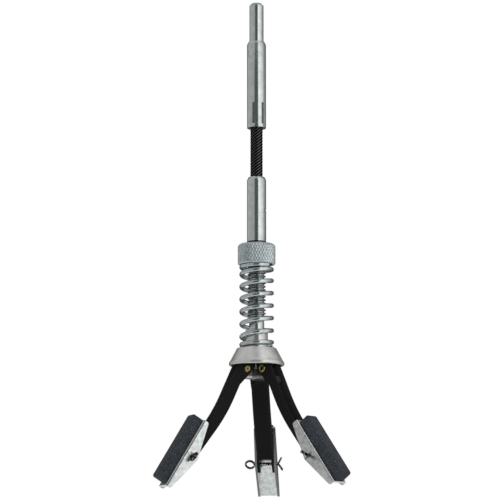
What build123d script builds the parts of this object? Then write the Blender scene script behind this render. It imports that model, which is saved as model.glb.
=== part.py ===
from build123d import *
from math import cos, hypot, radians, sin, tan
import os

# Brake cylinder hone, in millimetres.
# The tool's axis is Z. The origin lies on it at the shank's shoulder, where a chuck stops,
# and the tool hangs down from there. The rest pose has the arms spread to their stop.

# Drive shank and its ferrule
shank_diameter = 6.0
shank_length = 16.9
shank_chamfer = 1.0
ferrule_diameter = 8.0
ferrule_chamfer = 1.2
drive_ferrule_length = 37.2
drive_cable_grip = 12.0
crimp_count = 6
crimp_width = 0.9
crimp_length = 9.0
crimp_depth = 0.35
crimp_above_end = 1.5
crimp_turn = -50.0

# Flexible shaft
cable_diameter = 5.2
cable_free_length = 21.1
cable_fit = 0.02
cable_end_gap = 1.0

# Spindle
spindle_ferrule_length = 29.7
spindle_cable_grip = 17.0
stake_diameter = 1.3
stake_depth = 0.4
stake_below_top = 14.2
stake_azimuth = -24.0
stake_taper = 15.0
thread_diameter = 7.8
thread_length = 30.4
rod_diameter = 6.3
tenon_diameter = 4.6
running_fit = 0.05

# Adjusting nut
nut_diameter = 15.7
nut_height = 8.8
nut_round = 1.5
nut_chamfer = 0.5
nut_recess_diameter = 9.2
nut_recess_depth = 1.5
nut_stop_gap = 0.1

# Compression spring
spring_outer_diameter = 14.4
wire_diameter = 1.9
spring_length = 34.9
spring_seat_gap = 0.05
spring_turns = 7.1
closed_turns = 0.35
ramp_turns = 0.6
closed_pitch = 2.0
spring_start_azimuth = 180.0
spring_steps_per_turn = 10

# Spring cup
neck_diameter = 9.3
neck_length = 7.7
cup_top_diameter = 16.5
cone_diameter = 22.2
cone_height = 5.6
rim_diameter = 23.0
rim_height = 1.7
cavity_roof_diameter = 14.8
cavity_straight = 0.8
cup_floor = 2.2
boss_diameter = 10.4
rim_stop_gap = 0.12

# Legs: three arms round the hub
leg_azimuths = (82.2, 202.2, 322.2)
pivot_radius = 5.6
pivot_below_cup = 1.7
pin_reach = 24.3
pin_drop = 36.7
arm_top_lean = 24.5
arm_foot_lean = 36.8
arm_bend_radius = 70.0
arm_width = 7.1
arm_depth = 4.4
arm_sheet = 1.0
arm_corner = 1.3
arm_centre_offset = 2.2
arm_top_rise = 1.6
web_start = 5.7
web_end = 3.6
eye_radius = 2.2
tail_reach = 2.2
tail_rise = 2.0
tail_radius = 0.9
tail_gap = 0.1
shoulder_reach = 2.0
shoulder_rise = 1.6
shoulder_radius = 1.0
throat_drop = 7.0
throat_radius = 1.5
nose_reach = 2.9
nose_inset = 0.9
nose_radius = 0.8

# Hub
hub_core_diameter = 7.6
hub_drop = 3.7
hub_core_rise = 0.1
lug_radius = 2.1
lug_side_gap = 0.1

# Hub rivets
rivet_diameter = 2.2
rivet_bore = 1.2
rivet_head_diameter = 2.9
rivet_head_height = 0.5
rivet_roll_diameter = 3.3
rivet_roll_height = 0.6
rivet_roll_bore = 1.8
rivet_side_gap = 0.1
rivet_head_bore = 0.9

# Stone shoes, each swung to its own lean on its pin
shoe_leans = (27.0, 31.6, 36.0)
shoe_top = 15.5
shoe_foot = 15.8
shoe_sheet = 0.9
shoe_side_gap = 0.1
shoe_bend = 1.2
plate_distance = 2.65
ear_radius = 2.6
ear_end_radius = 1.0
ear_end_depth = 2.65

# Honing stones, each glued a little off the middle of its shoe
stone_length = 29.8
stone_width = 6.2
stone_thickness = 4.8
stone_end_round = 1.0
stone_edge_round = 0.7
stone_shifts = (0.0, 0.8, -0.2)

# Split pins
pin_diameter = 1.4
pin_hole_clearance = 0.08
pin_wire = 0.65
pin_split = 0.04
pin_ring_seat = 0.5
pin_side_gap = 0.15
pin_eye_diameter = 4.5
pin_eye_droop = 0.25
pin_leg_length = 3.3
pin_leg_bend = 1.1
pin_leg_splays = (62.0, 62.0, 32.0)

# Levels on the axis, worked out from the top down
drive_ferrule_end = -drive_ferrule_length
spindle_top = drive_ferrule_end - cable_free_length
thread_top = spindle_top - spindle_ferrule_length
thread_end = thread_top - thread_length
nut_top = thread_top + nut_recess_depth - nut_stop_gap
nut_bottom = nut_top - nut_height
cup_top = nut_bottom - spring_length
neck_top = cup_top + neck_length
rim_top = cup_top - cone_height
cup_bottom = rim_top - rim_height
pivot_z = cup_bottom - pivot_below_cup
hub_bottom = pivot_z - hub_drop
hub_core_top = pivot_z + hub_core_rise
boss_bottom = pivot_z + tail_rise + tail_radius + tail_gap
cavity_roof = cup_top - cup_floor

# Widths across a leg, from the inside out
arm_half = arm_width / 2
arm_inner_half = arm_half - arm_sheet
lug_half = arm_inner_half - lug_side_gap
shoe_inner_half = arm_half + shoe_side_gap
shoe_half = shoe_inner_half + shoe_sheet

# A leg's points, as radius from the tool's axis and height
pivot = (pivot_radius, pivot_z)
pin = (pivot_radius + pin_reach, pivot_z - pin_drop)
arm_top = (
    pivot_radius + arm_centre_offset - arm_top_rise * tan(radians(arm_top_lean)),
    pivot_z + arm_top_rise,
)


def lean_point(start, lean, along, across):
    """The point that lies so far down a line with this lean from the vertical, and so far outboard of it."""
    c, s = cos(radians(lean)), sin(radians(lean))
    return start[0] + along * s + across * c, start[1] + across * s - along * c


def meeting_point(start, start_lean, end, end_lean):
    """Where a line down from start meets a line up from end."""
    start_slope, end_slope = tan(radians(start_lean)), tan(radians(end_lean))
    drop = (end[0] - start[0] - end_slope * (start[1] - end[1])) / (start_slope - end_slope)
    return start[0] + drop * start_slope, start[1] - drop


arm_bend = meeting_point(arm_top, arm_top_lean, pin, arm_foot_lean)


def leg_plane(azimuth):
    """The upright plane through the tool's axis at a leg: x is the radius and y the height."""
    a = radians(azimuth)
    return Plane(origin=(0, 0, 0), x_dir=(cos(a), sin(a), 0), z_dir=(sin(a), -cos(a), 0))


def shoe_plane(azimuth, lean):
    """The leg's plane turned about the pin: x points out through the plate and y up along it."""
    leg = leg_plane(azimuth)
    c, s = cos(radians(lean)), sin(radians(lean))
    outward = leg.x_dir * c + leg.y_dir * s
    return Plane(origin=leg.from_local_coords(pin), x_dir=outward, z_dir=leg.z_dir)


def save(piece, name):
    piece.part.label = name
    export_step(piece.part, f"parts/{name}.step")


os.makedirs("parts", exist_ok=True)

# Drive shank: turned bar with a blind bore that is crimped on the cable
with BuildPart() as drive_shank:
    with BuildSketch(Plane.XZ):
        with BuildLine():
            Polyline(
                (0, shank_length),
                (shank_diameter / 2 - shank_chamfer, shank_length),
                (shank_diameter / 2, shank_length - shank_chamfer),
                (shank_diameter / 2, 0),
                (ferrule_diameter / 2 - ferrule_chamfer / 2, 0),
                (ferrule_diameter / 2, -ferrule_chamfer),
                (ferrule_diameter / 2, drive_ferrule_end),
                (cable_diameter / 2 + cable_fit, drive_ferrule_end),
                (cable_diameter / 2 + cable_fit, drive_ferrule_end + drive_cable_grip),
                (0, drive_ferrule_end + drive_cable_grip),
                close=True,
            )
        make_face()
    revolve(axis=Axis.Z)
    with PolarLocations(ferrule_diameter / 2, crimp_count, start_angle=crimp_turn):
        with Locations((0, 0, drive_ferrule_end + crimp_above_end + crimp_length / 2)):
            Box(2 * crimp_depth, crimp_width, crimp_length, mode=Mode.SUBTRACT)
save(drive_shank, "drive_shank")

# Flexible shaft: one plain rod of the winding's outer size, with its ends in the two bores
with BuildPart() as flex_cable:
    with BuildSketch(Plane.XY.offset(spindle_top - spindle_cable_grip + cable_end_gap)):
        Circle(cable_diameter / 2)
    extrude(amount=spindle_cable_grip + cable_free_length + drive_cable_grip - 2 * cable_end_gap)
save(flex_cable, "flex_cable")

# Spindle: ferrule, thread at its crest size, guide rod and the tenon that is peened in the hub
with BuildPart() as spindle:
    with BuildSketch(Plane.XZ):
        with BuildLine():
            Polyline(
                (cable_diameter / 2 + cable_fit, spindle_top),
                (ferrule_diameter / 2 - ferrule_chamfer / 2, spindle_top),
                (ferrule_diameter / 2, spindle_top - ferrule_chamfer),
                (ferrule_diameter / 2, thread_top),
                (thread_diameter / 2, thread_top),
                (thread_diameter / 2, thread_end),
                (rod_diameter / 2, thread_end - (thread_diameter - rod_diameter) / 2),
                (rod_diameter / 2, hub_core_top),
                (tenon_diameter / 2, hub_core_top),
                (tenon_diameter / 2, hub_bottom),
                (0, hub_bottom),
                (0, spindle_top - spindle_cable_grip),
                (cable_diameter / 2 + cable_fit, spindle_top - spindle_cable_grip),
                close=True,
            )
        make_face()
    revolve(axis=Axis.Z)
    stake_plane = Plane(
        origin=(0, 0, spindle_top - stake_below_top),
        x_dir=(0, 0, 1),
        z_dir=(cos(radians(stake_azimuth)), sin(radians(stake_azimuth)), 0),
    )
    with BuildSketch(stake_plane.offset(ferrule_diameter / 2 - stake_depth)):
        Circle(stake_diameter / 2)
    extrude(amount=stake_depth + cable_fit, taper=-stake_taper, mode=Mode.SUBTRACT)
save(spindle, "spindle")

# Adjusting nut: round, with a recess that lets the spindle's ferrule in
with BuildPart() as adjusting_nut:
    with BuildSketch(Plane.XZ):
        with BuildLine():
            FilletPolyline(
                (nut_recess_diameter / 2, nut_top),
                (nut_diameter / 2, nut_top),
                (nut_diameter / 2, nut_bottom + nut_chamfer),
                radius=nut_round,
            )
            Polyline(
                (nut_diameter / 2, nut_bottom + nut_chamfer),
                (nut_diameter / 2 - nut_chamfer, nut_bottom),
                (thread_diameter / 2 + running_fit, nut_bottom),
                (thread_diameter / 2 + running_fit, nut_top - nut_recess_depth),
                (nut_recess_diameter / 2, nut_top - nut_recess_depth),
                (nut_recess_diameter / 2, nut_top),
            )
        make_face()
    revolve(axis=Axis.Z)
save(adjusting_nut, "adjusting_nut")

# Compression spring: right-hand, its end turns closed, its active turns at one pitch
coil_radius = (spring_outer_diameter - wire_diameter) / 2
coil_top = nut_bottom - spring_seat_gap - wire_diameter / 2
coil_drop = spring_length - 2 * spring_seat_gap - wire_diameter
steps = round(spring_turns * spring_steps_per_turn)


def openness(turn):
    """0 in the closed end turns and 1 in the active ones, with a smooth ramp between."""
    from_end = min(turn, spring_turns - turn)
    share = min(max((from_end - closed_turns) / ramp_turns, 0), 1)
    return share * share * (3 - 2 * share)


middles = [spring_turns * (n + 0.5) / steps for n in range(steps)]
open_turns = sum(openness(t) for t in middles) * spring_turns / steps
extra_pitch = (coil_drop - closed_pitch * spring_turns) / open_turns
coil_points = []
coil_z = coil_top
for n in range(steps + 1):
    angle = radians(spring_start_azimuth - 360 * spring_turns * n / steps)
    coil_points.append((coil_radius * cos(angle), coil_radius * sin(angle), coil_z))
    if n < steps:
        coil_z -= (closed_pitch + extra_pitch * openness(middles[n])) * spring_turns / steps

with BuildPart() as compression_spring:
    with BuildLine() as coil:
        Spline(*coil_points)
    with BuildSketch(Plane(origin=coil.line @ 0, z_dir=coil.line % 0)):
        Circle(wire_diameter / 2)
    sweep(path=coil.line, is_frenet=True)
save(compression_spring, "compression_spring")

# Spring cup: cast cone with a neck up inside the spring and a boss down on the arms' tails
guide_radius = rod_diameter / 2 + running_fit
arm_edge = lean_point(arm_top, arm_top_lean, 0, arm_depth / 2)
arm_edge_at_rim = arm_edge[0] + (arm_edge[1] - cup_bottom) * tan(radians(arm_top_lean))
rim_inner_radius = hypot(arm_edge_at_rim, arm_half) + rim_stop_gap
with BuildPart() as spring_cup:
    with BuildSketch(Plane.XZ):
        with BuildLine():
            Polyline(
                (guide_radius, neck_top),
                (neck_diameter / 2, neck_top),
                (neck_diameter / 2, cup_top),
                (cup_top_diameter / 2, cup_top),
                (cone_diameter / 2, rim_top),
                (rim_diameter / 2, rim_top - rim_height / 2),
                (rim_diameter / 2, cup_bottom),
                (rim_inner_radius, cup_bottom),
                (rim_inner_radius, cup_bottom + cavity_straight),
                (cavity_roof_diameter / 2, cavity_roof),
                (boss_diameter / 2, cavity_roof),
                (boss_diameter / 2, boss_bottom),
                (guide_radius, boss_bottom),
                close=True,
            )
        make_face()
    revolve(axis=Axis.Z)
save(spring_cup, "spring_cup")

# Hub: round core with a lug for each arm, fixed on the spindle's tenon
with BuildPart() as hub:
    with BuildSketch(Plane.XY.offset(hub_bottom)):
        Circle(hub_core_diameter / 2)
    extrude(amount=hub_core_top - hub_bottom)
    for azimuth in leg_azimuths:
        with BuildSketch(leg_plane(azimuth)):
            with Locations(pivot):
                Circle(lug_radius)
            with Locations(((pivot_radius + lug_radius / 2) / 2, (hub_bottom + hub_core_top) / 2)):
                Rectangle(pivot_radius + lug_radius / 2, hub_core_top - hub_bottom)
            make_hull()
        extrude(amount=lug_half, both=True)
    with BuildSketch(Plane.XY.offset(hub_core_top)):
        Circle(rod_diameter / 2 + running_fit)
    extrude(amount=lug_radius, mode=Mode.SUBTRACT)
    with BuildSketch(Plane.XY.offset(hub_bottom)):
        Circle(tenon_diameter / 2 + cable_fit)
    extrude(amount=hub_core_top - hub_bottom, mode=Mode.SUBTRACT)
    for azimuth in leg_azimuths:
        with BuildSketch(leg_plane(azimuth)):
            with Locations(pivot):
                Circle(rivet_diameter / 2 + cable_fit)
        extrude(amount=lug_half, both=True, mode=Mode.SUBTRACT)
save(hub, "hub")


def make_arm(azimuth):
    """Pressed channel with its web inboard, eyes and tails at the top and open prongs at the foot."""
    leg = leg_plane(azimuth)
    with BuildPart() as arm:
        with BuildLine(leg) as centre_line:
            FilletPolyline(arm_top, arm_bend, pin, radius=arm_bend_radius)
        section = Plane(origin=centre_line.line @ 0, x_dir=leg.z_dir, z_dir=centre_line.line % 0)
        with BuildSketch(section) as channel:
            Rectangle(arm_width, arm_depth)
            fillet(channel.vertices().group_by(Axis.Y)[-1], arm_corner)
            with Locations((0, -arm_sheet)):
                Rectangle(2 * arm_inner_half, arm_depth, mode=Mode.SUBTRACT)
        sweep(path=centre_line.line)
        with BuildSketch(leg):
            with Locations(pivot):
                Circle(eye_radius)
            with Locations((pivot_radius - tail_reach, pivot_z + tail_rise)):
                Circle(tail_radius)
            with Locations((pivot_radius + shoulder_reach, pivot_z + shoulder_rise)):
                Circle(shoulder_radius)
            with Locations(lean_point(arm_top, arm_top_lean, throat_drop, throat_radius - arm_depth / 2)):
                Circle(throat_radius)
            make_hull()
        extrude(amount=arm_half, both=True)
        with BuildSketch(leg):
            with Locations(pin):
                Circle(arm_depth / 2)
            with Locations(lean_point(pin, arm_foot_lean, nose_reach, -nose_inset)):
                Circle(nose_radius)
            make_hull()
        extrude(amount=arm_half, both=True)
        beyond = 2 * (arm_depth + tail_reach)
        with BuildSketch(leg):
            with BuildLine():
                Polyline(
                    lean_point(arm_top, arm_top_lean, web_start, -beyond),
                    lean_point(arm_top, arm_top_lean, web_start, beyond),
                    lean_point(arm_top, arm_top_lean, -beyond, beyond),
                    lean_point(arm_top, arm_top_lean, -beyond, -beyond),
                    close=True,
                )
            make_face()
            with BuildLine():
                Polyline(
                    lean_point(pin, arm_foot_lean, -web_end, -beyond),
                    lean_point(pin, arm_foot_lean, -web_end, beyond),
                    lean_point(pin, arm_foot_lean, beyond, beyond),
                    lean_point(pin, arm_foot_lean, beyond, -beyond),
                    close=True,
                )
            make_face()
        extrude(amount=arm_inner_half, both=True, mode=Mode.SUBTRACT)
        with BuildSketch(leg):
            with Locations(pivot):
                Circle(rivet_diameter / 2 + running_fit)
            with Locations(pin):
                Circle(pin_diameter / 2 + pin_hole_clearance)
        extrude(amount=arm_half, both=True, mode=Mode.SUBTRACT)
    return arm


def make_rivet(azimuth):
    """Tubular rivet through an arm's eyes and its lug: a plain head at one side, a rolled end at the other."""
    leg = leg_plane(azimuth)
    across = Plane(origin=leg.from_local_coords(pivot), x_dir=-leg.z_dir, z_dir=leg.x_dir)
    face = arm_half + rivet_side_gap
    with BuildPart() as rivet:
        with BuildSketch(across):
            with BuildLine():
                Polyline(
                    (face, rivet_diameter / 2),
                    (face, rivet_head_diameter / 2),
                    (face + rivet_head_height / 2, rivet_head_diameter / 2),
                    (face + rivet_head_height, rivet_head_bore / 2 + rivet_head_height),
                    (face + rivet_head_height, rivet_head_bore / 2),
                    (face, rivet_head_bore / 2),
                    (face, rivet_bore / 2),
                    (-face, rivet_bore / 2),
                    (-face - rivet_roll_height, rivet_roll_bore / 2),
                )
                TangentArc(
                    (-face, rivet_roll_diameter / 2),
                    (-face - rivet_roll_height, rivet_roll_bore / 2),
                    tangent=(-1, 0),
                )
                Polyline((-face, rivet_roll_diameter / 2), (-face, rivet_diameter / 2), (face, rivet_diameter / 2))
            make_face()
        revolve(axis=Axis(across.origin, across.x_dir))
    return rivet


def make_shoe(azimuth, lean):
    """Pressed shoe: a plate for the stone and two three-cornered ears with the pin at their peak."""
    plane = shoe_plane(azimuth, lean)
    plate_face = plate_distance + shoe_sheet
    with BuildPart() as shoe:
        with BuildSketch(plane):
            Circle(ear_radius)
            with Locations((plate_distance + shoe_sheet / 2, (shoe_top - shoe_foot) / 2)):
                Rectangle(shoe_sheet, shoe_top + shoe_foot)
            with Locations(
                (plate_face - ear_end_depth + ear_end_radius, shoe_top - ear_end_radius),
                (plate_face - ear_end_depth + ear_end_radius, ear_end_radius - shoe_foot),
            ):
                Circle(ear_end_radius)
            make_hull()
        extrude(amount=shoe_half, both=True)
        along = shoe.edges().filter_by(Axis(plane.origin, plane.y_dir))
        fillet(along.sort_by(Axis(plane.origin, plane.x_dir))[-2:], shoe_bend)
        with BuildSketch(plane):
            with Locations(((plate_distance - ear_radius) / 2, 0)):
                Rectangle(plate_distance + ear_radius, 2 * (shoe_top + shoe_foot))
        extrude(amount=shoe_inner_half, both=True, mode=Mode.SUBTRACT)
        with BuildSketch(plane):
            Circle(pin_diameter / 2 + pin_hole_clearance)
        extrude(amount=shoe_half, both=True, mode=Mode.SUBTRACT)
    return shoe


def make_stone(azimuth, lean, shift):
    """Abrasive stone, glued to the shoe's plate, with rounded ends and working edges."""
    plane = shoe_plane(azimuth, lean)
    with BuildPart() as stone:
        with BuildSketch(plane) as side:
            middle = (shoe_top - shoe_foot) / 2 + shift
            with Locations((plate_distance + shoe_sheet + stone_thickness / 2, middle)):
                Rectangle(stone_thickness, stone_length)
            fillet(side.vertices().group_by(Axis.X)[-1], stone_end_round)
        extrude(amount=stone_width / 2, both=True)
        along = stone.edges().filter_by(Axis(plane.origin, plane.y_dir))
        fillet(along.sort_by(Axis(plane.origin, plane.x_dir))[-2:], stone_edge_round)
    return stone


def make_split_pin(azimuth, splay):
    """Split pin of half-round wire through the ears and prongs: a ring at one side, two bent legs at the other."""
    leg = leg_plane(azimuth)
    outward = leg.x_dir * cos(radians(arm_foot_lean)) + leg.y_dir * sin(radians(arm_foot_lean))
    plane = Plane(origin=leg.from_local_coords(pin), x_dir=-leg.z_dir, z_dir=outward)
    face = shoe_half + pin_side_gap
    ring_radius = pin_eye_diameter / 2
    ring_middle = plane.from_local_coords((face + ring_radius, -pin_eye_droop))
    ring = Plane(origin=ring_middle, x_dir=-plane.x_dir, z_dir=plane.y_dir)
    with BuildPart() as split_pin:
        with BuildSketch(Plane(origin=plane.from_local_coords((-face, 0)), z_dir=plane.x_dir)):
            Circle(pin_diameter / 2)
        extrude(amount=2 * face + pin_ring_seat)
        with BuildSketch(ring):
            with Locations((ring_radius - pin_wire, 0)):
                Circle(pin_wire)
            with Locations((ring_radius - 2 * pin_wire, 0)):
                Rectangle(2 * pin_wire, 2 * pin_wire, mode=Mode.SUBTRACT)
        revolve(axis=Axis(ring.origin, ring.y_dir))
        for side in (1, -1):
            level = side * pin_split / 2
            knee = (-face - pin_wire, level)
            reach = pin_leg_length * cos(radians(splay))
            spread = pin_leg_length * sin(radians(splay))
            tip = (knee[0] - reach, level + side * spread)
            with BuildLine(plane) as wire_line:
                FilletPolyline((-face + pin_ring_seat, level), knee, tip, radius=pin_leg_bend)
            with BuildSketch(Plane(origin=wire_line.line @ 0, x_dir=side * plane.y_dir, z_dir=-plane.x_dir)):
                Circle(pin_wire)
                with Locations((-pin_wire, 0)):
                    Rectangle(2 * pin_wire, 2 * pin_wire, mode=Mode.SUBTRACT)
            sweep(path=wire_line.line)
    return split_pin


legs = zip(leg_azimuths, shoe_leans, stone_shifts, pin_leg_splays)
for number, (azimuth, lean, shift, splay) in enumerate(legs, start=1):
    save(make_arm(azimuth), f"arm_{number}")
    save(make_rivet(azimuth), f"hub_rivet_{number}")
    save(make_shoe(azimuth, lean), f"stone_shoe_{number}")
    save(make_stone(azimuth, lean, shift), f"honing_stone_{number}")
    save(make_split_pin(azimuth, splay), f"split_pin_{number}")
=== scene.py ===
from math import cos, pi, radians, sin, tan

import bmesh
import bpy
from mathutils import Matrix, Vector


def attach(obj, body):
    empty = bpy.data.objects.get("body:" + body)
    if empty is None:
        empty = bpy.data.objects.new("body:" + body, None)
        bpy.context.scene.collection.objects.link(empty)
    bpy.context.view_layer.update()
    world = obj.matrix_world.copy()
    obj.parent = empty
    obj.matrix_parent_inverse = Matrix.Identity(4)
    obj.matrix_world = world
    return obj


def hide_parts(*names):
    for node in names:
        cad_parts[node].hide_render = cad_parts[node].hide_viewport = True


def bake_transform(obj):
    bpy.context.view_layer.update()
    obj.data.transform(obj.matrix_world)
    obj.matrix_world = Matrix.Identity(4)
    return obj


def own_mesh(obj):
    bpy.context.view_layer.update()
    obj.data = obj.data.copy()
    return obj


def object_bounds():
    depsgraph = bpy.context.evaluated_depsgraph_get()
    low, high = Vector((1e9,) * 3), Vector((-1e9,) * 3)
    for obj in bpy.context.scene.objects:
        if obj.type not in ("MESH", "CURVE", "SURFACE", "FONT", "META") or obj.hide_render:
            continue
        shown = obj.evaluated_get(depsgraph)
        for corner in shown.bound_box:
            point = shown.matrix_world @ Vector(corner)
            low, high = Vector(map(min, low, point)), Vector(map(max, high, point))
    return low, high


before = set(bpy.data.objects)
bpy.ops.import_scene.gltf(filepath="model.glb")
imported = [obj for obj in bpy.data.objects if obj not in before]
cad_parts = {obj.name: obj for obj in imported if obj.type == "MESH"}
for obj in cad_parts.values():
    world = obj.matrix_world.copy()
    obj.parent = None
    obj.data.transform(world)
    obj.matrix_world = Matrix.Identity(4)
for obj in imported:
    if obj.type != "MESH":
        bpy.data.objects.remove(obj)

solid_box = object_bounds()

# Drive shank. A turned steel bar, bright zinc plated: a 6 mm shank with a chamfered tip for the
# drill chuck, and below the shoulder an 8 mm ferrule, bored and crimped on the flexible shaft.
mm = 0.001
crease = radians(32)
ferrule_radius = 4.0
crimp_top, crimp_bottom = -26.4, -36.0
punch_height, punch_reach = -72.5, 0.9
# The painted shade ring on the ferrule above the nut lies between these two heights.
shade_ring_top, shade_ring_bottom = -85.4, -87.2


class Signal:
    """One output in a node tree. Arithmetic on it adds the Math nodes that work it out."""

    def __init__(self, graph, socket):
        self.graph, self.socket = graph, socket

    def part(self, name):
        return Signal(self.graph, self.socket.node.outputs[name])

    def __add__(self, other):
        return self.graph.maths("ADD", self, other)

    def __sub__(self, other):
        return self.graph.maths("SUBTRACT", self, other)

    def __rsub__(self, other):
        return self.graph.maths("SUBTRACT", other, self)

    def __mul__(self, other):
        return self.graph.maths("MULTIPLY", self, other)

    def __truediv__(self, other):
        return self.graph.maths("DIVIDE", self, other)

    def __rtruediv__(self, other):
        return self.graph.maths("DIVIDE", other, self)

    __radd__ = __add__
    __rmul__ = __mul__


class Graph:
    """A node tree that is being drawn: every node comes from add()."""

    def __init__(self, tree):
        self.tree = tree

    def add(self, kind, settings=None, inputs=None, output=0):
        node = self.tree.nodes.new(kind)
        for name, value in (settings or {}).items():
            if name == "stops":
                while len(node.color_ramp.elements) < len(value):
                    node.color_ramp.elements.new(1.0)
                for element, (position, shade) in zip(node.color_ramp.elements, value):
                    element.position, element.color = position, (shade, shade, shade, 1.0)
            else:
                setattr(node, name, value)
        for name, value in (inputs or {}).items():
            if isinstance(value, Signal):
                self.tree.links.new(value.socket, node.inputs[name])
            else:
                node.inputs[name].default_value = value
        return Signal(self, node.outputs[output]) if node.outputs else node

    def maths(self, operation, *values):
        return self.add("ShaderNodeMath", {"operation": operation}, dict(enumerate(values)))

    def axes(self, vector):
        """The x, y and z of a vector."""
        x = self.add("ShaderNodeSeparateXYZ", inputs={0: vector})
        return x, x.part("Y"), x.part("Z")

    def length(self, x, y):
        return self.maths("SQRT", x * x + y * y)

    def between(self, value, low, high, from_low=0.0, from_high=1.0):
        """The value carried from one range to another, held at both ends."""
        return self.add("ShaderNodeMapRange", {"clamp": True}, {
            "Value": value, "From Min": from_low, "From Max": from_high, "To Min": low, "To Max": high,
        })


class Finish(Graph):
    """A material. What is the same all over is set on the shader, and paint() feeds the rest."""

    def __init__(self, name, **constants):
        self.material = bpy.data.materials.new(name)
        self.material.use_nodes = True
        super().__init__(self.material.node_tree)
        self.surface = self.tree.nodes["Principled BSDF"]
        for socket, value in constants.items():
            self.surface.inputs[socket.replace("_", " ")].default_value = value
        self.place = self.add("ShaderNodeTexCoord", output="Object")

    def noise(self, grain_mm, detail=2.0, stretch=(1.0, 1.0, 1.0)):
        """Noise with grains of this size, longer along an axis where stretch is under 1."""
        place = self.add("ShaderNodeVectorMath", {"operation": "MULTIPLY"}, {0: self.place, 1: stretch})
        return self.add("ShaderNodeTexNoise", inputs={
            "Vector": place, "Scale": 1 / (grain_mm * mm), "Detail": detail,
        })

    def colour(self, share, low, high):
        """A mix of two colours, each of them plain or a signal."""
        low, high = (end if isinstance(end, Signal) else (*end, 1.0) for end in (low, high))
        return self.add("ShaderNodeMix", {"data_type": "RGBA"}, {0: share, 6: low, 7: high}, output=2)

    def relief(self, height, depth_mm):
        return self.add(
            "ShaderNodeBump", inputs={"Height": height, "Distance": depth_mm * mm}, output="Normal",
        )

    def paint(self, **feeds):
        for socket, signal in feeds.items():
            self.tree.links.new(signal.socket, self.surface.inputs[socket.replace("_", " ")])
        return self.material


def zinc_plate(name, dark, light, matt, bright, grain_mm, mark_mm, mark_depth_mm, marks=(1.0, 1.0, 1.0),
               painted_shade_and_bare=None):
    """Bright zinc plate: cloudy in colour and gloss, over the marks of the tool that made the steel.

    Where a function is given as the last argument, it says where the plate is painted black: painted shade,
    and steel cut bare."""
    plate = Finish(name, Metallic=1.0)
    cloud = plate.noise(grain_mm, detail=5.0)
    lines = plate.noise(mark_mm, detail=1.0, stretch=marks)
    scuffs = plate.between(plate.noise(1.1, detail=3.0, stretch=(1.0, 1.0, 2.2)), 0.0, 1.0, 0.58, 0.72)
    share = plate.between(cloud, 0.0, 1.0, 0.32, 0.68)
    colour = plate.colour(share, dark, light)
    if painted_shade_and_bare:
        colour = plate.colour(painted_shade_and_bare(plate, *plate.axes(plate.place)), colour, (0.02, 0.02, 0.02))
    return plate.paint(
        Base_Color=colour,
        Roughness=share * (bright - matt) + matt + scuffs * 0.1,
        Normal=plate.relief(lines + cloud * 2.0, mark_depth_mm),
    )


def dressed(piece, material, body, *nodes, slot):
    """Gives a finished piece its material and its body, and hides the solids that it stands for; the slot is
    not used.
    """
    piece.data.materials.clear()
    piece.data.materials.append(material)
    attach(piece, body)
    if nodes:
        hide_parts(*nodes)


def plain_object(name, mesh):
    piece = bpy.data.objects.new(name, mesh)
    bpy.context.scene.collection.objects.link(piece)
    return piece


def made_plain(piece):
    """The piece with its modifiers worked into its mesh."""
    shaped = piece.evaluated_get(bpy.context.evaluated_depsgraph_get())
    mesh = bpy.data.meshes.new_from_object(shaped)
    piece.modifiers.clear()
    piece.data = mesh
    return piece


def eased(piece, width_mm):
    """Breaks the piece's sharp edges by this width."""
    bevel = piece.modifiers.new("eased", "BEVEL")
    bevel.width, bevel.segments = width_mm * mm, 2
    bevel.limit_method, bevel.angle_limit = "ANGLE", crease
    bevel.harden_normals = True
    return made_plain(piece)


def copied_solid(name, node):
    """A copy of a CAD solid with its flat faces whole, ready to have its edges eased."""
    mesh = bpy.data.meshes.new(name)
    shape = bmesh.new()
    shape.from_mesh(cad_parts[node].data)
    bmesh.ops.remove_doubles(shape, verts=shape.verts, dist=0.002 * mm)
    bmesh.ops.dissolve_limit(shape, angle_limit=radians(0.6), verts=shape.verts, edges=shape.edges)
    shape.to_mesh(mesh)
    shape.free()
    for left_over in ("custom_normal", "sharp_face", "sharp_edge"):
        if left_over in mesh.attributes:
            mesh.attributes.remove(mesh.attributes[left_over])
    mesh.shade_smooth()
    mesh.set_sharp_from_angle(angle=crease)
    return plain_object(name, mesh)


def painted_ferrule_shade(plate, x, y, z):
    """Painted shade: a dark ring painted on the lower ferrule just above the nut, and darkening painted into
    the crimps and the punch mark.
    """

    def zone(bottom, top, fade):
        """1 between two heights, fading to 0 inside them."""
        above = plate.between(z, 0.0, 1.0, bottom * mm, (bottom + fade) * mm)
        return above * plate.between(z, 1.0, 0.0, (top - fade) * mm, top * mm)

    skin = ferrule_radius - 0.05
    sunk = plate.between(plate.length(x, y), 1.0, 0.0, (skin - 0.15) * mm, skin * mm)
    crimped = zone(crimp_bottom, crimp_top, 0.2)
    punched = zone(punch_height - punch_reach, punch_height + punch_reach, 0.1)
    return zone(shade_ring_bottom, shade_ring_top, 0.25) * 0.95 + sunk * (crimped * 0.75 + punched * 0.9)


turned_zinc = zinc_plate(
    "turned_zinc", (0.57, 0.62, 0.62), (0.74, 0.79, 0.78), 0.22, 0.13,
    grain_mm=2.6, mark_mm=0.16, mark_depth_mm=0.0012, marks=(0.05, 0.05, 1.0), painted_shade_and_bare=painted_ferrule_shade,
)
shank = eased(copied_solid("shank_bar", "drive_shank"), 0.15)
dressed(shank, turned_zinc, "drive_shank", "drive_shank", slot="bright_steel")

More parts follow.
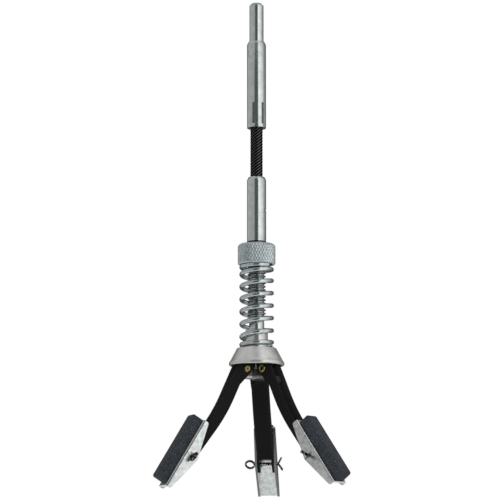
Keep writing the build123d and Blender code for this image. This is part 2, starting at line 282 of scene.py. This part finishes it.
# Flexible shaft. Black spring-steel wires wound side by side into a core 5.2 mm thick, so that the
# hone can follow a bore that the drill isn't in line with. Its ends go up and down into the ferrules.
shank_end, spindle_top = -37.2, -58.3
grip_above, grip_below = 11.0, 16.0
shaft_top, shaft_bottom = shank_end + grip_above, spindle_top - grip_below
shaft_middle, bend_reach, half_overlap = (shank_end + spindle_top) / 2, 5.5, 0.5
core_radius, winding_wires, winding_wire = 5.2 / 2, 9, 1.2
winding_radius = core_radius - winding_wire / 2
winding_angle = radians(35.0)
winding_lead = 2 * pi * core_radius * tan(winding_angle)


def geometry_tree(name, **inputs):
    """An empty tree of geometry nodes with these named inputs. Returns its graph and its signals."""
    tree = bpy.data.node_groups.new(name, "GeometryNodeTree")
    tree.interface.new_socket("Geometry", in_out="INPUT", socket_type="NodeSocketGeometry")
    tree.interface.new_socket("Geometry", in_out="OUTPUT", socket_type="NodeSocketGeometry")
    for label, kind in inputs.items():
        tree.interface.new_socket(label, in_out="INPUT", socket_type="NodeSocket" + kind)
    graph = Graph(tree)
    given = graph.add("NodeGroupInput")
    return graph, {label: given.part(label) for label in ("Geometry", *inputs)}


def finish_tree(graph, shape, material):
    """Ends a tree: its instances made real and its material set."""
    real = graph.add("GeometryNodeRealizeInstances", inputs={0: shape})
    coated = graph.add("GeometryNodeSetMaterial", inputs={"Geometry": real, "Material": material})
    graph.add("NodeGroupOutput", inputs={0: coated})
    return graph.tree


def grown(name, tree, start_mesh, **sizes):
    """The plain piece that a tree makes out of a mesh with these sizes."""
    piece = plain_object(name, start_mesh)
    modifier = piece.modifiers.new("tree", "NODES")
    modifier.node_group = tree
    for item in tree.interface.items_tree:
        if item.in_out == "INPUT" and item.name in sizes:
            modifier[item.identifier] = sizes[item.name]
    return made_plain(piece)


def circle(radius, sides):
    return [(radius * cos(2 * pi * n / sides), radius * sin(2 * pi * n / sides)) for n in range(sides)]


def outline_mesh(name, points):
    """A closed outline: x points out from the tool's axis and y down along it, in millimetres."""
    mesh = bpy.data.meshes.new(name)
    edges = [(n, (n + 1) % len(points)) for n in range(len(points))]
    mesh.from_pydata([(-x * mm, y * mm, 0.0) for x, y in points], edges, [])
    return mesh


def coil_tree():
    """Right-hand coils downwards: turns closed at both ends, then opening over a ramp to one pitch.

    The ends thin out over the Fade, and the wire is ground flat at the Ceiling and the Floor."""
    graph, given = geometry_tree(
        "coil", Turns="Float", First="Float", Last="Float", Steps="Int", Radius="Float", Top="Float",
        Pitch="Float", Extra="Float", Closed="Float", Ramp="Float", Start="Float", Fade="Float",
        Strands="Int", Ceiling="Float", Floor="Float", Material="Material",
    )
    line = graph.add("GeometryNodeCurvePrimitiveLine")
    line = graph.add("GeometryNodeResampleCurve", inputs={"Curve": line, "Count": given["Steps"]})
    along = graph.add("GeometryNodeSplineParameter", output="Factor")
    turn = given["First"] + along * (given["Last"] - given["First"])
    middle = given["Turns"] * 0.5
    from_end = graph.maths("MINIMUM", turn, given["Turns"] - turn)

    def opened(turns):
        """How many turns' worth of opening lies before this turn."""
        share = graph.between((turns - given["Closed"]) / given["Ramp"], 0.0, 1.0)
        ramp = given["Ramp"] * (share * share * share - share * share * share * share * 0.5)
        return ramp + graph.maths("MAXIMUM", turns - given["Closed"] - given["Ramp"], 0.0)

    lower_half = graph.maths("GREATER_THAN", turn, middle)
    before = opened(from_end)
    opening = before + lower_half * (opened(middle) * 2.0 - before * 2.0)
    angle = given["Start"] - turn * (2 * pi)
    place = graph.add("ShaderNodeCombineXYZ", inputs={
        "X": given["Radius"] * graph.maths("COSINE", angle),
        "Y": given["Radius"] * graph.maths("SINE", angle),
        "Z": given["Top"] - given["Pitch"] * turn - given["Extra"] * opening,
    })
    helix = graph.add("GeometryNodeSetPosition", inputs={"Geometry": line, "Position": place})
    helix = graph.add("GeometryNodeSetCurveNormal", {"mode": "Z_UP"}, {"Curve": helix})
    nearer_end = graph.maths("MINIMUM", turn - given["First"], given["Last"] - turn)
    run_out = graph.between(nearer_end / given["Fade"], 0.02, 1.0)
    section = graph.add("GeometryNodeMeshToCurve", inputs={"Mesh": given["Geometry"]})
    helix = graph.add("GeometryNodeSetCurveRadius", inputs={"Curve": helix, "Radius": run_out})
    wire = graph.add("GeometryNodeCurveToMesh", inputs={
        "Curve": helix, "Profile Curve": section, "Scale": run_out, "Fill Caps": True,
    })
    wire = graph.add("GeometryNodeSetShadeSmooth", inputs={0: wire})
    x, y, z = graph.axes(graph.add("GeometryNodeInputPosition"))
    level = graph.maths("MAXIMUM", graph.maths("MINIMUM", z, given["Ceiling"]), given["Floor"])
    ground = graph.add("ShaderNodeCombineXYZ", inputs={"X": x, "Y": y, "Z": level})
    wire = graph.add("GeometryNodeSetPosition", inputs={"Geometry": wire, "Position": ground})
    starts = graph.add("GeometryNodePoints", inputs={"Count": given["Strands"]})
    index = graph.add("GeometryNodeInputIndex")
    bearing = graph.add("ShaderNodeCombineXYZ", inputs={"Z": index * (2 * pi) / given["Strands"]})
    strands = graph.add("GeometryNodeInstanceOnPoints", inputs={
        "Points": starts, "Instance": wire, "Rotation": bearing,
    })
    return finish_tree(graph, strands, given["Material"])


coil = coil_tree()
even_coil = {"Extra": 0.0, "Closed": 0.0, "Ramp": 1.0, "Ceiling": 1.0, "Floor": -1.0}
cut_off = 0.0001

black_wire = Finish("black_wire", Metallic=1.0, Specular_Tint=(0.05, 0.05, 0.05, 1.0))
grime = black_wire.noise(0.7, detail=3.0)
draw_marks = black_wire.noise(0.25, detail=2.0)
x, y = black_wire.axes(black_wire.place)[:2]
painted_crown_light = black_wire.between(black_wire.length(x, y), 0.0, 1.0, (core_radius - 0.1) * mm, core_radius * mm)
# Painted light and shade: only the wires' outer crowns are painted lighter, as a highlight, and the rest
# near black, as the shade between the wires.
black_wire.paint(
    Base_Color=black_wire.colour(
        painted_crown_light * (grime * 0.6 + 0.4), (0.0010, 0.0010, 0.0010), (0.210, 0.210, 0.215),
    ),
    Roughness=black_wire.between(grime, 0.26, 0.5, 0.3, 0.7),
    Normal=black_wire.relief(draw_marks, 0.01),
)

for name, top, bottom, bodies in (
    ("shaft_winding_upper", shaft_top, shaft_middle - half_overlap, ("cable", "drive_shank")),
    ("shaft_winding_lower", shaft_middle + half_overlap, shaft_bottom, ("spindle", "cable")),
):
    turns = (top - bottom) / winding_lead
    winding = grown(
        name, coil, outline_mesh("winding_wire", circle(winding_wire / 2, 10)),
        Turns=turns, First=0.0, Last=turns, Steps=int(turns * 40) + 2, Radius=winding_radius * mm,
        Top=top * mm, Pitch=winding_lead * mm, Fade=cut_off, Strands=winding_wires,
        Start=-2 * pi * (shaft_top - top) / winding_lead, Material=black_wire.material, **even_coil,
    )
    bend_start = shaft_middle if name == "shaft_winding_upper" else shaft_middle - bend_reach
    bend_start * mm
    (bend_start + bend_reach) * mm
    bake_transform(winding)
    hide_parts("flex_cable")

# Spindle. A turned and plated steel bar: a bored ferrule staked on the flexible shaft, a 5/16 inch
# thread for the adjusting nut, the plain rod that guides the spring cup, and the tenon in the hub.
bore_radius, bore_depth = 2.62, 17.0
thread_top, thread_end, thread_pitch = -88.0, -118.4, 25.4 / 18
thread_root, thread_lead_in = 3.05, 0.5
rod_radius, tenon_radius = 3.15, 2.3
hub_top, hub_bottom = -139.2, -143.0
punch_azimuth, punch_depth = radians(-24.0), 0.4
punch_tip, punch_head, punch_length = 0.543, 0.85, 0.9


def turned(name, outline, segments=96):
    """A piece turned on the tool's axis, from an outline of radius and height in millimetres."""
    mesh = bpy.data.meshes.new(name)
    shape = bmesh.new()
    rings = []
    for radius, height in outline:
        if radius == 0:
            rings.append([shape.verts.new((0, 0, height * mm))] * segments)
        else:
            places = circle(radius * mm, segments)
            rings.append([shape.verts.new((x, y, height * mm)) for x, y in places])
    hollow = outline[0][0] > 0
    for ring, following in zip(rings, rings[1:] + rings[:1] if hollow else rings[1:]):
        for n in range(segments):
            corners = [ring[n], ring[(n + 1) % segments], following[(n + 1) % segments], following[n]]
            shape.faces.new(list(dict.fromkeys(corners)))
    bmesh.ops.recalc_face_normals(shape, faces=shape.faces)
    shape.to_mesh(mesh)
    shape.free()
    mesh.shade_smooth()
    mesh.set_sharp_from_angle(angle=crease)
    return plain_object(name, mesh)


bar = eased(turned("spindle_bar", [
    (0, spindle_top - bore_depth), (bore_radius, spindle_top - bore_depth), (bore_radius, spindle_top),
    (ferrule_radius - 0.6, spindle_top), (ferrule_radius, spindle_top - 1.2),
    (ferrule_radius, spindle_top - 1.5), (ferrule_radius, punch_height + punch_reach),
    (ferrule_radius, punch_height - punch_reach), (ferrule_radius, thread_top + 0.3),
    (ferrule_radius, thread_top), (thread_root, thread_top), (thread_root, thread_end - 0.4),
    (rod_radius, thread_end - 0.5), (rod_radius, thread_end - 0.9), (rod_radius, hub_top + 0.3),
    (rod_radius, hub_top), (tenon_radius, hub_top), (tenon_radius, hub_bottom), (0, hub_bottom),
]), 0.1)

outwards = Vector((cos(punch_azimuth), sin(punch_azimuth), 0.0))
centre = outwards * (ferrule_radius - punch_depth + punch_length / 2) + Vector((0, 0, punch_height))
shape = bmesh.new()
bmesh.ops.create_cone(
    shape, cap_ends=True, segments=32, radius1=punch_tip * mm, radius2=punch_head * mm,
    depth=punch_length * mm,
)
aim = outwards.to_track_quat("Z", "Y").to_matrix().to_4x4()
bmesh.ops.transform(shape, matrix=aim, verts=shape.verts)
bmesh.ops.translate(shape, vec=centre * mm, verts=shape.verts)
punch = plain_object("punch", bpy.data.meshes.new("punch"))
shape.to_mesh(punch.data)
shape.free()
mark = bar.modifiers.new("punch_mark", "BOOLEAN")
mark.operation, mark.object, mark.solver = "DIFFERENCE", punch, "EXACT"
bar = made_plain(bar)
bpy.data.objects.remove(punch)
bar.data.set_sharp_from_angle(angle=crease)
dressed(bar, turned_zinc, "spindle", "spindle", slot="bright_steel")

# Painted shade: the thread's plating is painted darker than the spindle's, as the spring's shade over it.
thread_zinc = zinc_plate(
    "thread_zinc", (0.34, 0.36, 0.36), (0.54, 0.56, 0.55), 0.34, 0.24,
    grain_mm=1.2, mark_mm=0.3, mark_depth_mm=0.003,
)
thread_form = [(-0.3, -0.66), (0.0, -0.62), (0.81, -0.12), (0.81, 0.12), (0.0, 0.62), (-0.3, 0.66)]
ridge_turns = (thread_top - thread_end + thread_lead_in) / thread_pitch
ridge = grown(
    "spindle_thread", coil, outline_mesh("thread_form", thread_form),
    Turns=ridge_turns, First=0.0, Last=ridge_turns, Steps=int(ridge_turns * 48), Radius=thread_root * mm,
    Top=(thread_top + thread_lead_in) * mm, Pitch=thread_pitch * mm, Fade=0.25, Start=0.4, Strands=1,
    Material=thread_zinc, **even_coil,
)
ridge.data.set_sharp_from_angle(angle=crease)
dressed(ridge, thread_zinc, "spindle", "spindle", slot="bright_steel")

# Adjusting nut. A round steel nut, tapped for the spindle's thread, with a diamond knurl for the
# fingers that runs over its rounded top edge, and a recess that lets the ferrule in. Zinc plated.
nut_top, nut_bottom, nut_radius = -86.6, -95.4, 15.7 / 2
nut_bore, nut_round, nut_chamfer = 3.95, 1.5, 0.5
recess_radius, recess_depth = 4.6, 1.5
knurl_pitch, knurl_height, knurl_depth = 1.2, 2.5, 0.30
knurl_count = round(2 * pi * nut_radius / knurl_pitch)
knurl_ring, knurl_rings = 0.148, 45


def knurl_tree():
    """Presses two crossing sets of grooves into the outer skin of a turned blank."""
    graph, given = geometry_tree(
        "knurl", Count="Float", Height="Float", Depth="Float", Inner="Float", Outer="Float",
        Material="Material",
    )
    x, y, z = graph.axes(graph.add("GeometryNodeInputPosition"))
    round_share = graph.maths("ARCTAN2", y, x) * given["Count"] / (2 * pi)
    lean = z / given["Height"]

    def groove(wave):
        """0 along a groove's bottom and 1 on the ridge between two grooves."""
        return 1.0 - graph.maths("ABSOLUTE", graph.maths("FRACT", wave) - 0.5) * 2.0

    ridge = graph.maths("MINIMUM", groove(round_share + lean), groove(round_share - lean))
    pressed = graph.between(graph.length(x, y), 0.0, 1.0, given["Inner"], given["Outer"])
    inward = pressed * (graph.maths("MINIMUM", ridge * 1.9, 1.0) - 1.0) * given["Depth"]
    normal = graph.add("GeometryNodeInputNormal")
    offset = graph.add("ShaderNodeVectorMath", {"operation": "SCALE"}, {0: normal, "Scale": inward})
    skin = graph.add("GeometryNodeSetPosition", inputs={"Geometry": given["Geometry"], "Offset": offset})
    return finish_tree(graph, skin, given["Material"])


round_edge = [
    (nut_radius - nut_round + nut_round * sin(radians(a)), nut_top - nut_round + nut_round * cos(radians(a)))
    for a in range(0, 91, 6)
]
side = [(nut_radius, nut_top - nut_round - knurl_ring * n) for n in range(1, knurl_rings + 1)]
blank = turned("nut_blank", [
    (nut_bore, nut_top - recess_depth), (recess_radius, nut_top - recess_depth),
    (recess_radius, nut_top - 0.15), (recess_radius + 0.15, nut_top), *round_edge, *side,
    (nut_radius, nut_bottom + nut_chamfer), (nut_radius - nut_chamfer, nut_bottom),
    (nut_bore + 0.35, nut_bottom), (nut_bore, nut_bottom + 0.35),
], segments=knurl_count * 8)
nut_zinc = zinc_plate(
    "nut_zinc", (0.49, 0.56, 0.58), (0.70, 0.77, 0.79), 0.26, 0.18,
    grain_mm=1.8, mark_mm=0.3, mark_depth_mm=0.002,
)
nut = grown(
    "knurled_nut", knurl_tree(), blank.data,
    Count=float(knurl_count), Height=knurl_height * mm, Depth=knurl_depth * mm,
    Inner=(nut_radius - nut_round) * mm, Outer=(nut_radius - 0.5) * mm, Material=nut_zinc,
)
bpy.data.objects.remove(blank)
dressed(nut, nut_zinc, "nut", "adjusting_nut", slot="knurled_steel")

# Spring. Right-hand coils of 1.9 mm plated wire with closed ends, ground flat under the nut and a
# little on the cup. Its upper piece hangs on the spindle, and its lowest turns are a piece of their own.
cup_top, seat_gap, nut_range = -130.3, 0.05, 16.93
coil_end_height = 0.5
upper_seat, lower_seat = nut_bottom - seat_gap, cup_top + seat_gap
wire_radius, coil_radius = 1.9 / 2, 12.5 / 2
ground_turns, coil_turns, lower_turns = 0.4, 7.9, 1.15
closed_turns, ramp_turns, closed_pitch = ground_turns + 0.35, 0.6, 1.8
open_turns = coil_turns - 2 * closed_turns - ramp_turns
coil_top = upper_seat - wire_radius + ground_turns * closed_pitch
coil_drop = coil_top - lower_seat - coil_end_height
extra_pitch = (coil_drop - closed_pitch * coil_turns) / open_turns


def shaded_bare_end(plate, x, y, z):
    """The lower end of the wire painted black: the steel cut bare after the plating, and painted shade for
    the dark gap under the last coil.
    """
    near_cut = plate.between(plate.maths("ABSOLUTE", y), 1.0, 0.0, 0.25 * mm, 0.3 * mm)
    low = plate.between(z, 1.0, 0.0, (lower_seat + 1.35) * mm, (lower_seat + 1.45) * mm)
    return near_cut * low * plate.between(x, 0.0, 1.0, 0.0, 0.1 * mm)


wire_zinc = zinc_plate(
    "wire_zinc", (0.49, 0.54, 0.55), (0.70, 0.76, 0.76), 0.22, 0.14,
    grain_mm=1.6, mark_mm=0.5, mark_depth_mm=0.002, marks=(1.0, 1.0, 2.5), painted_shade_and_bare=shaded_bare_end,
)
turns_left = ground_turns + lower_turns
split_turn = coil_turns - turns_left
split_share = min(max((turns_left - closed_turns) / ramp_turns, 0.0), 1.0)
opened_below = ramp_turns * (split_share ** 3 - split_share ** 4 / 2)
opened_below += max(turns_left - closed_turns - ramp_turns, 0.0)
split_height = coil_top - closed_pitch * split_turn - extra_pitch * (open_turns - opened_below)
for name, first, last in (("spring_upper", 0.0, split_turn), ("spring_lower", split_turn, coil_turns)):
    spring = grown(
        name, coil, outline_mesh("spring_wire", circle(wire_radius, 20)),
        Turns=coil_turns, First=first, Last=last, Steps=int((last - first) * 64) + 2,
        Radius=coil_radius * mm, Top=coil_top * mm, Pitch=closed_pitch * mm, Extra=extra_pitch * mm,
        Closed=closed_turns, Ramp=ramp_turns, Fade=cut_off, Start=pi + 2 * pi * ground_turns, Strands=1,
        Ceiling=upper_seat * mm, Floor=lower_seat * mm, Material=wire_zinc,
    )
    spring.data.set_sharp_from_angle(angle=radians(40))
    if name == "spring_upper":
        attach(spring, "spindle")
        span = nut_bottom - split_height
        split_height * mm
        (span - nut_range) / span
        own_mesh(spring)
    else:
        split_height * mm
        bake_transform(spring)
    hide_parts("compression_spring")

# Spring cup. Cast zinc alloy, left as it came from the die: a neck that centres the spring, a cone
# that flares into a rolled lip, and inside it a boss that bears on the tails of the three arms.
neck_top, rim_top, cup_bottom = -122.6, -135.9, -137.6
cup_bore, neck_radius, boss_radius, boss_bottom = 3.2, 4.65, 5.2, -136.3
cast = turned("cast_cup", [
    (cup_bore, neck_top), (neck_radius - 0.3, neck_top), (neck_radius, neck_top - 0.3),
    (neck_radius, cup_top + 0.3), (neck_radius + 0.3, cup_top), (7.85, cup_top), (8.1, cup_top - 0.05),
    (8.25, cup_top - 0.25), (10.1, rim_top + 1.9), (10.65, rim_top + 0.85), (10.9, rim_top + 0.35),
    (11.15, rim_top + 0.05), (11.4, rim_top - 0.35), (11.5, rim_top - 0.8), (11.45, cup_bottom + 0.35),
    (11.2, cup_bottom + 0.05), (10.6, cup_bottom), (10.4, cup_bottom), (10.28, cup_bottom + 0.8),
    (7.4, cup_top - 2.2), (boss_radius + 0.2, cup_top - 2.2), (boss_radius, cup_top - 2.4),
    (boss_radius, boss_bottom), (cup_bore, boss_bottom),
], segments=112)
cast_alloy = Finish("cast_alloy", Metallic=0.8)
blotch = cast_alloy.noise(3.5, detail=5.0)
sand = cast_alloy.noise(0.25, detail=3.0)
height = cast_alloy.axes(cast_alloy.place)[2]
machined = cast_alloy.between(height, 0.0, 1.0, (cup_top + 0.2) * mm, (cup_top + 0.5) * mm)
mottle = cast_alloy.between(blotch * 0.7 + sand * 0.3, 0.0, 1.0, 0.35, 0.65)
cast_alloy.paint(
    Base_Color=cast_alloy.colour(mottle, (0.57, 0.58, 0.55), (0.78, 0.78, 0.76)),
    Roughness=cast_alloy.between(sand, 0.26, 0.38) * (1.0 - machined) + machined * 0.18,
    Normal=cast_alloy.relief((sand + blotch * 0.6) * (1.0 - machined), 0.016),
)
dressed(eased(cast, 0.12), cast_alloy.material, "cup", "spring_cup", slot="cast_cup")

# Hub and its rivets. A steel hub with three lugs is peened on the spindle's tenon, and in each lug a
# tubular brass rivet, headed at one side and rolled over at the other, is the pivot of an arm.
hub_plate = Finish("hub_plate", Metallic=1.0)
oil = hub_plate.noise(1.5, detail=4.0)
height = hub_plate.axes(hub_plate.place)[2]
painted_lit_edge = hub_plate.between(height, 1.0, 0.0, (hub_bottom + 0.5) * mm, (hub_bottom + 1.1) * mm)
# Painted shade and light: the hub is painted dark above, as the cup's shade, and light along its lowest
# millimetre, as a highlight.
hub_plate.paint(
    Base_Color=hub_plate.colour(painted_lit_edge * 0.75 + oil * 0.25, (0.05, 0.05, 0.055), (0.62, 0.62, 0.60)),
    Roughness=hub_plate.between(oil, 0.34, 0.5, 0.3, 0.7),
    Normal=hub_plate.relief(oil, 0.02),
)
hub = eased(copied_solid("hub_casting", "hub"), 0.15)
dressed(hub, hub_plate.material, "spindle", "hub", slot="hub_steel")

brass = Finish("brass", Metallic=1.0)
tarnish = brass.noise(0.8, detail=4.0)
rubbed = brass.between(tarnish, 0.0, 1.0, 0.35, 0.7)
brass.paint(
    Base_Color=brass.colour(rubbed, (0.20, 0.16, 0.06), (0.62, 0.52, 0.24)),
    Roughness=brass.between(tarnish, 0.2, 0.36),
    Normal=brass.relief(brass.noise(0.12, detail=2.0), 0.004),
)
for number in (1, 2, 3):
    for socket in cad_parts[f"hub_rivet_{number}"].material_slots:
        socket.material = brass.material

# Arms. Each is a strip of steel pressed into a channel with its back inboard, bent outwards a little
# in its middle, with eyes and tails at its top and two prongs at its foot, and painted satin black.
leg_azimuths = {1: 82.2, 2: 202.2, 3: 322.2}
arm_width, arm_sheet = 7.1, 1.0


def marked(piece, attribute, azimuth, chosen):
    """Marks the faces of a leg's piece that chosen() picks by where they lie and which way they face."""
    outward = Vector((cos(radians(azimuth)), sin(radians(azimuth)), 0))
    sideways = Vector((-outward.y, outward.x, 0))
    marks = piece.data.attributes.new(attribute, "FLOAT", "FACE")
    for face in piece.data.polygons:
        side, slope = face.center.dot(sideways) / mm, face.normal.dot(sideways)
        marks.data[face.index].value = chosen(side, slope, face.normal.dot(outward))


def inside_channel(side, slope, outward):
    """The two walls' faces that look at each other, and the back's face between them."""
    looks_in = slope * side < -0.5 * abs(side)
    return abs(side) < arm_width / 2 - arm_sheet + 0.1 and (looks_in or outward > 0.3)


black_paint = Finish("black_paint", Metallic=0.0, IOR=1.5, Specular_IOR_Level=0.06)
painted_inside_light = black_paint.add("ShaderNodeAttribute", {"attribute_name": "channel_inside"}, output="Fac")
thickness = black_paint.noise(2.2, detail=3.0)
peel = black_paint.noise(0.35, detail=2.0)
# Painted light: the faces inside the channel are painted lighter, as the light that reaches into it.
black_paint.paint(
    Base_Color=black_paint.colour(
        thickness * 0.06 + painted_inside_light * 0.94, (0.0085, 0.0085, 0.0085), (0.034, 0.034, 0.035),
    ),
    Roughness=black_paint.between(thickness * 0.6 + peel * 0.4, 0.30, 0.46, 0.3, 0.7),
    Normal=black_paint.relief(peel, 0.012),
)
for number, azimuth in leg_azimuths.items():
    arm = eased(copied_solid(f"pressed_arm_{number}", f"arm_{number}"), 0.14)
    marked(arm, "channel_inside", azimuth, inside_channel)
    dressed(arm, black_paint.material, f"arm_{number}", f"arm_{number}", slot="black_arm")

# Stone shoes. Pressed steel channels with a flat plate for the stone and two three-cornered ears,
# bright zinc plated, cloudy from the bath and smudged. Their narrow edges are painted dark: painted shade.
shoe_inner_half = arm_width / 2 + 0.1


def shaded_edge_faces(side, slope, outward):
    """The narrow faces round the two ears."""
    return abs(side) > shoe_inner_half + 0.15 and abs(slope) < 0.5 and outward < 0.35


shoe_zinc = Finish("shoe_zinc", Metallic=1.0)
cloud = shoe_zinc.noise(1.6, detail=5.0)
tint = shoe_zinc.noise(3.4, detail=3.0)
press_lines = shoe_zinc.noise(0.35, detail=1.0, stretch=(0.25, 0.25, 1.0))
smears = shoe_zinc.noise(1.0, detail=4.0, stretch=(1.0, 1.0, 0.6))
smudge = shoe_zinc.between(smears, 0.0, 0.7, 0.63, 0.74)
sheared = shoe_zinc.add("ShaderNodeAttribute", {"attribute_name": "sheared"}, output="Fac")
bloom = shoe_zinc.between(cloud, 0.0, 1.0, 0.32, 0.68)
cold = shoe_zinc.colour(bloom, (0.53, 0.58, 0.59), (0.79, 0.83, 0.83))
warm = shoe_zinc.colour(bloom, (0.58, 0.57, 0.54), (0.84, 0.83, 0.80))
plating = shoe_zinc.colour(shoe_zinc.between(tint, 0.0, 1.0, 0.46, 0.62), cold, warm)
# Painted shade: the narrow faces round the ears are painted near black, and made rougher.
shoe_zinc.paint(
    Base_Color=shoe_zinc.colour(smudge * (1.0 - sheared) + sheared * 0.8, plating, (0.09, 0.09, 0.088)),
    Roughness=shoe_zinc.between(cloud, 0.34, 0.22) + sheared * 0.12,
    Normal=shoe_zinc.relief(press_lines + cloud * 2.0, 0.002),
)
for number, azimuth in leg_azimuths.items():
    shoe = eased(copied_solid(f"pressed_shoe_{number}", f"stone_shoe_{number}"), 0.12)
    marked(shoe, "sheared", azimuth, shaded_edge_faces)
    dressed(shoe, shoe_zinc.material, f"shoe_{number}", f"stone_shoe_{number}", slot="zinc_shoe")

# Honing stones. Fine charcoal grit bonded into blocks and glued on the shoes, with their ends and
# working edges rounded so that they enter the bore.
grit = Finish("grit", Metallic=0.0)
grains = grit.noise(0.16, detail=3.0)
cells = grit.add(
    "ShaderNodeTexVoronoi", inputs={"Vector": grit.place, "Scale": 1 / (0.38 * mm)}, output="Distance",
)
clouds = grit.noise(4.0, detail=3.0)
sparkle = grit.between(grit.noise(0.42, detail=4.0), 0.0, 1.0, 0.52, 0.70)
shade = grit.between(grains * 0.6 + clouds * 0.4, 0.0, 1.0, 0.35, 0.65)
grit.paint(
    Base_Color=grit.colour(sparkle * 0.8 + shade * 0.2, (0.013, 0.018, 0.023), (0.085, 0.100, 0.118)),
    Roughness=grit.between(sparkle, 0.92, 0.6),
    Normal=grit.relief(grains + cells * 0.6, 0.05),
)
for number in (1, 2, 3):
    stone = eased(copied_solid(f"grit_block_{number}", f"honing_stone_{number}"), 0.2)
    dressed(stone, grit.material, f"shoe_{number}", f"honing_stone_{number}", slot="abrasive")

# Split pins. Half-round dark steel wire doubled back on itself: the ring stays at one side, and the
# two legs are bent apart at the other once the pin is through the prongs and the shoe's ears.
oiled_wire = Finish("oiled_wire", Metallic=1.0)
film = oiled_wire.noise(0.6, detail=3.0)
bright_spots = oiled_wire.between(film, 0.0, 1.0, 0.50, 0.66)
oiled_wire.paint(
    Base_Color=oiled_wire.colour(bright_spots, (0.022, 0.022, 0.023), (0.50, 0.50, 0.49)),
    Roughness=oiled_wire.between(film, 0.18, 0.32),
    Normal=oiled_wire.relief(film, 0.01),
)
for number in (1, 2, 3):
    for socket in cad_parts[f"split_pin_{number}"].material_slots:
        socket.material = oiled_wire.material

# Floor, light and camera. A pale floor at the stones' feet that can't be seen from below, a white
# room with the soft panels that the plating reflects, and the camera of the photograph.
floor_height, floor_half = solid_box[0][2] - 0.0002, 1.2
corners = [(x * floor_half, y * floor_half, floor_height) for x, y in ((-1, -1), (1, -1), (1, 1), (-1, 1))]
floor_mesh = bpy.data.meshes.new("floor")
floor_mesh.from_pydata(corners, [], [(0, 1, 2, 3)])
floor = plain_object("floor", floor_mesh)
paper = Finish("paper", Roughness=0.9)
fibre = paper.noise(30.0)
paper.paint(Base_Color=paper.colour(fibre, (0.86, 0.86, 0.86), (0.88, 0.88, 0.88)))
clear = paper.add("ShaderNodeBsdfTransparent")
lit_paper = paper.add("ShaderNodeEmission", inputs={"Strength": 0.85})
x, y = paper.axes(paper.place)[:2]
far_away = paper.between(paper.length(x, y), 0.0, 1.0, 0.06, 0.13)
mirrored_paper = paper.add("ShaderNodeMixShader", inputs={0: far_away, 1: lit_paper, 2: clear})
in_mirror = paper.add("ShaderNodeLightPath", output="Is Glossy Ray")
plain_paper = Signal(paper, paper.surface.outputs[0])
upper_side = paper.add("ShaderNodeMixShader", inputs={0: in_mirror, 1: plain_paper, 2: mirrored_paper})
below = paper.add("ShaderNodeNewGeometry", output="Backfacing")
one_sided = paper.add("ShaderNodeMixShader", inputs={0: below, 1: upper_side, 2: clear})
paper.tree.links.new(one_sided.socket, paper.tree.nodes["Material Output"].inputs[0])
floor_mesh.materials.append(paper.material)

world = bpy.data.worlds.new("studio")
world.use_nodes = True
world.cycles.sampling_method = "NONE"
bpy.context.scene.world = world
studio = Graph(world.node_tree)
x, y, z = studio.axes(studio.add("ShaderNodeTexCoord", output="Generated"))
bearing = studio.maths("ARCTAN2", x, y * -1.0) * (0.5 / pi) + 0.5
panels = studio.add("ShaderNodeValToRGB", {"stops": [
    (0.000, 0.08), (0.100, 0.08), (0.150, 0.40), (0.425, 0.36), (0.443, 0.08), (0.552, 0.08), (0.564, 1.00),
    (0.605, 1.00), (0.640, 0.84), (0.700, 0.74), (0.745, 0.55), (0.790, 0.32), (0.840, 0.24), (0.900, 0.08),
    (1.000, 0.08),
]}, {0: bearing}) * 1.2
overhead = studio.between(z, 0.0, 1.0, 0.55, 0.85)
mirror_light = panels * (1.0 - overhead * 0.5) + overhead * 0.3
soft_light = panels * 0.55 + 0.72
camera_ray = studio.add("ShaderNodeLightPath", output="Is Camera Ray")
glossy = camera_ray.part("Is Glossy Ray")
light = mirror_light * glossy + soft_light * (1.0 - glossy)
strength = camera_ray + light * (1.0 - camera_ray)
background = studio.tree.nodes["Background"]
background.inputs["Color"].default_value = (1.0, 1.0, 1.0, 1.0)
studio.tree.links.new(strength.socket, background.inputs["Strength"])

photo_camera = bpy.data.cameras.new("photo_camera")
photo_camera.sensor_width, photo_camera.lens = 36.0, 156.96
photo_camera.clip_start, photo_camera.clip_end = 0.01, 20.0
view = bpy.data.objects.new("photo_camera", photo_camera)
bpy.context.scene.collection.objects.link(view)
view.location = (0.0, -0.896, -0.23825)
view.rotation_euler = (radians(90 + 9.454), 0.0, radians(0.176))
bpy.context.scene.camera = view
bpy.context.scene.view_settings.view_transform = "Standard"
